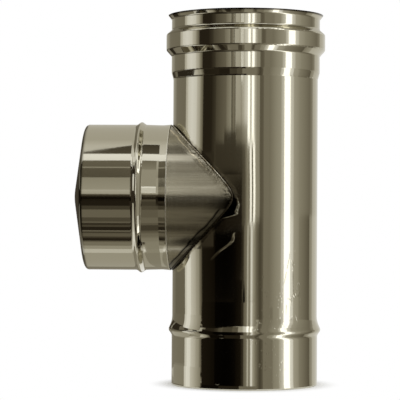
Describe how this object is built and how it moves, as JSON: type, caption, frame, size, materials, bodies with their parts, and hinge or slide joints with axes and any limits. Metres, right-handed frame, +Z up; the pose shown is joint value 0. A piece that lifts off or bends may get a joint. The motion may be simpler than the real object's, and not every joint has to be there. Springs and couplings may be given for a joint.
{
  "type": "stove pipe tee with capped branch",
  "caption": "Single-wall stainless stove pipe tee: socket with seal groove on top, male end with stop bead below, side branch closed by a pull-off conical cap.",
  "frame": {"origin": "centre of the bottom rim of the main tube", "axes": "+Z up along the main tube, -X along the branch towards its cap"},
  "size_m": [0.1386, 0.0878, 0.204],
  "materials": {
    "bright_stainless": "bright annealed stainless steel sheet, mirror-like",
    "cap_stainless": "bright annealed stainless steel, deep drawn",
    "brushed_stainless": "satin, brushed round the stub",
    "weld_metal": "fusion weld bead, lightly polished",
    "seal_rubber": "black silicone rubber, matt"
  },
  "bodies": {
    "tee": {"main_tube": "bright_stainless", "branch_stub": "brushed_stainless", "saddle_weld": "weld_metal", "socket_seal": "seal_rubber"},
    "cap": {"end_cap": "cap_stainless", "cap_seal": "seal_rubber"}
  },
  "joints": [
    {"name": "cap_pull", "type": "slide", "parent": "tee", "child": "cap", "axis": [-1, 0, 0], "range_m": [0, 0.06]}
  ]
}
